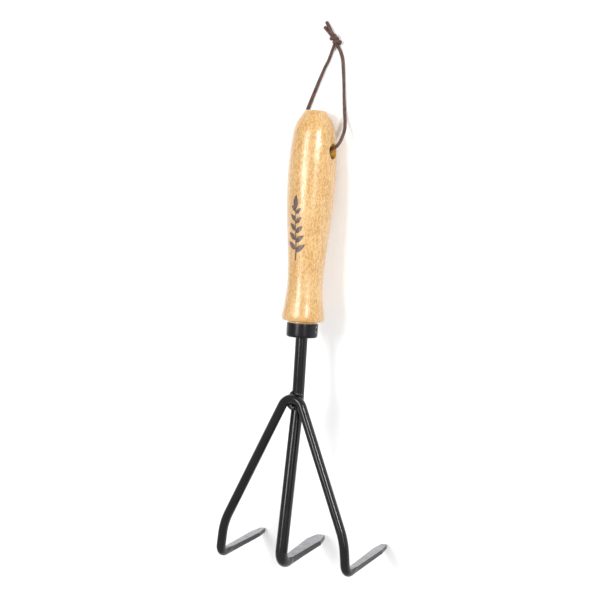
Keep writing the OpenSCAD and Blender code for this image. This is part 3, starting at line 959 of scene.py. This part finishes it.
def rod_rings(corner, rise, path, r, blade_w, tip_t):
    """Rings of a rod that starts at its prong's tip and runs through its corner along a path."""
    out = prong_dir(rise)
    prong = [(corner + out * PRONG_LEN * u, -out) for u in PRONG_SHARES]
    stations = prong + path
    side = carried_sides([d for _, d in stations], Vector((1, 0, 0)))
    rings = []
    for i, (centre, d) in enumerate(stations):
        up = d.cross(side[i])
        if i < len(prong):
            u = PRONG_SHARES[i]
            dents = min(1, max(0, (u - DENTS_FROM) / DENTS_FADE))
            outline = blade_outline(u, r, blade_w, tip_t)
            ring = [centre + p.x * side[i] + p.y * up for p in outline]
            ring = [p + up * hammered(p, corner.x) * dents for p in ring]
        else:
            ring = [centre + p.x * side[i] + p.y * up for p in round_outline(r)]
        rings.append(ring)
    return rings


def centre_rod_rings():
    """Rings of the centre rod, from its prong's tip to the end of its tang."""
    tip = CENTRE_CORNER + prong_dir(CENTRE_RISE) * PRONG_LEN
    tang = Vector((0, 0, TANG_LEN))
    low = bend(tip, CENTRE_CORNER, SHANK_BEND, CORNER_R_CENTRE, CORNER_STEPS)
    high = bend(CENTRE_CORNER, SHANK_BEND, tang, SHANK_BEND_R, 8)
    path = (low + straight(low[-1][0], high[0][0], 24) + high
            + straight(high[-1][0], tang, 20) + [(tang, Vector((0, 0, 1)))])
    return rod_rings(CENTRE_CORNER, CENTRE_RISE, path, ROD_R, CENTRE_BLADE_W, CENTRE_BLADE_T)


def outer_half(rise):
    """Rings of the left half of the V, from its prong's tip to the apex."""
    corner = outer_corner(-1)
    tip = corner + prong_dir(rise) * PRONG_LEN
    low = bend(tip, corner, knee(-1), CORNER_R_OUTER, CORNER_STEPS)
    middle = bend(corner, knee(-1), APEX, KNEE_R, 14)
    apex_steps = 40
    top = bend(knee(-1), APEX, knee(1), APEX_R, apex_steps)[:apex_steps // 2 + 1]
    path = (low + straight(low[-1][0], middle[0][0], 6) + middle
            + straight(middle[-1][0], top[0][0], 24) + top)
    return rod_rings(corner, rise, path, OUTER_R, OUTER_BLADE_W, OUTER_BLADE_T)


def outer_rod_rings():
    """Rings of the whole V: the left half, and the right half mirrored from a left one."""
    right = outer_half(RIGHT_RISE)
    return outer_half(LEFT_RISE) + [[Vector((-p.x, p.y, p.z)) for p in ring]
                                    for ring in reversed(right[:-1])]


def give_prong_faces(rod, prongs):
    """The prongs' materials, flats and sides, at the first end of a rod or at both its ends: the
    flats that face up get the lighter painted reflection, and the sides the darker painted shade.
    """
    rod.data.materials.append(FLATS_PAINTED_REFLECTION)
    rod.data.materials.append(SIDES_PAINTED_SHADE)
    flats, sides = 1, 2
    bands = len(rod.data.polygons) // ROD_SIDES
    for face in rod.data.polygons:
        band, k = divmod(face.index, ROD_SIDES)
        a = math.tau * (k + 0.5) / ROD_SIDES
        if band == bands:                       # the faces that close the rod's two ends
            if k == 0 or prongs == 2:
                face.material_index = sides
        elif band < PRONG_BANDS or prongs == 2 and band >= bands - PRONG_BANDS:
            # Faces that look up take the painted reflection, and the others the painted shade
            face.material_index = flats if math.sin(a) > abs(math.cos(a)) else sides


RODS = [("centre_rod_forged", centre_rod_rings(), "centre_rod", 1),
        ("outer_tine_rod_forged", outer_rod_rings(), "outer_tine_rod", 2)]
for name, rings, node, prongs in RODS:
    rod = link(name, *skin(rings))
    outward(rod)
    finish_piece(rod, STEEL, "black_steel", node, sharp=28)
    give_prong_faces(rod, prongs)


# --- weld beads ---------------------------------------------------------------------------------
RIPPLE_HEIGHT, LUMP_HEIGHT = 0.05, 0.16         # as shares of a bead's radius


def weld_bead(name, a, b, r, ripples, seed):
    """A run of weld metal from a to b: a lumpy bead with ripples across it."""
    a, b = Vector(a), Vector(b)
    d = (b - a).normalized()
    side = d.orthogonal().normalized()
    up = d.cross(side)
    length = (b - a).length + 2 * r
    rings, steps, sides = [], 40, 28
    for i in range(1, steps):
        t = i / steps
        round_off = math.sin(math.pi * t) ** 0.45
        ripple = 1 + RIPPLE_HEIGHT * math.sin(math.tau * ripples * t)
        centre = a - d * r + d * length * t
        ring = []
        for k in range(sides):
            w = math.tau * k / sides
            out = math.cos(w) * side + math.sin(w) * up
            uneven = noise.noise((centre + out * r) * 0.5 + Vector((seed, 0, 0)))
            lump = 1 + LUMP_HEIGHT * uneven
            ring.append(centre + out * r * round_off * ripple * lump)
        rings.append(ring)
    piece = link(name, *skin(rings))
    outward(piece)
    return piece


# Each bead's node, start, end, radius, number of ripples and seed
WELDS = [("weld_left", (-2.6, -3.6, -36.6), (-3.2, -4.8, -38.6), 1.2, 3, 3),
         ("weld_right", (0.4, -4.6, -36.8), (4.2, -4, -37.8), 1.4, 4, 11),
         ("weld_crotch", (-3.2, -5.4, -44.8), (-0.4, -5.4, -46.4), 2.2, 3, 23)]
for node, a, b, r, ripples, seed in WELDS:
    bead = weld_bead(node + "_bead", a, b, r, ripples, seed)
    finish_piece(bead, WELD, "black_weld", node, sharp=60)


# --- floor, world and lights --------------------------------------------------------------------
FLOOR_HALF = 6000
FLOOR_TONES = (0.93, 0.93, 0.93), (0.95, 0.95, 0.95)
WORLD_STRENGTH = 0.75
LAMP_DISTANCE = 1300
# Each light's target, its azimuth and elevation from there, its width and height in metres, and
# its power; the narrow one is reflected by the slanted right tine
LAMPS = [("softbox_left", (0, 0, 40), -11, 7.5, 0.36, 0.66, 9.4),
         ("softbox_right", (0, 0, 40), 46, 7.5, 0.23, 0.58, 2.4),
         ("strip_for_tines", (20, -8, -75), 50, 24, 0.06, 0.31, 5.9)]


def add_floor():
    """A plain pale floor at the height of the table."""
    low, high = -FLOOR_HALF, FLOOR_HALF
    corners = [(low, low, 0), (high, low, 0), (high, high, 0), (low, high, 0)]
    floor = link("floor", corners, [(0, 1, 2, 3)], ON_TABLE)
    n = Nodes("pale_floor", ON_TABLE)
    cloud = n.noise(n.place, scale=0.01, detail=3.0)
    n.set(Base_Color=n.mix(n.spread(cloud, 0.3, 0.7), *FLOOR_TONES), Roughness=0.9)
    floor.data.materials.append(n.material)


def add_world():
    """An even white surround, shown without a film look."""
    world = bpy.data.worlds.new("pale_world")
    bpy.context.scene.world = world
    world.use_nodes = True
    sky = world.node_tree.nodes["Background"]
    sky.inputs["Color"].default_value = (1, 1, 1, 1)
    sky.inputs["Strength"].default_value = WORLD_STRENGTH
    bpy.context.scene.view_settings.view_transform = "Standard"


def add_lamps():
    """Soft lights that the camera doesn't see."""
    for name, target, azimuth, elevation, wide, tall, power in LAMPS:
        light = bpy.data.lights.new(name, "AREA")
        light.shape = "RECTANGLE"
        light.size = wide
        light.size_y = tall
        light.energy = power
        lamp = bpy.data.objects.new(name, light)
        bpy.context.collection.objects.link(lamp)
        lamp.matrix_world = aimed(Vector(target), azimuth, elevation, LAMP_DISTANCE)
        lamp.visible_camera = False


add_floor()
add_world()
add_lamps()
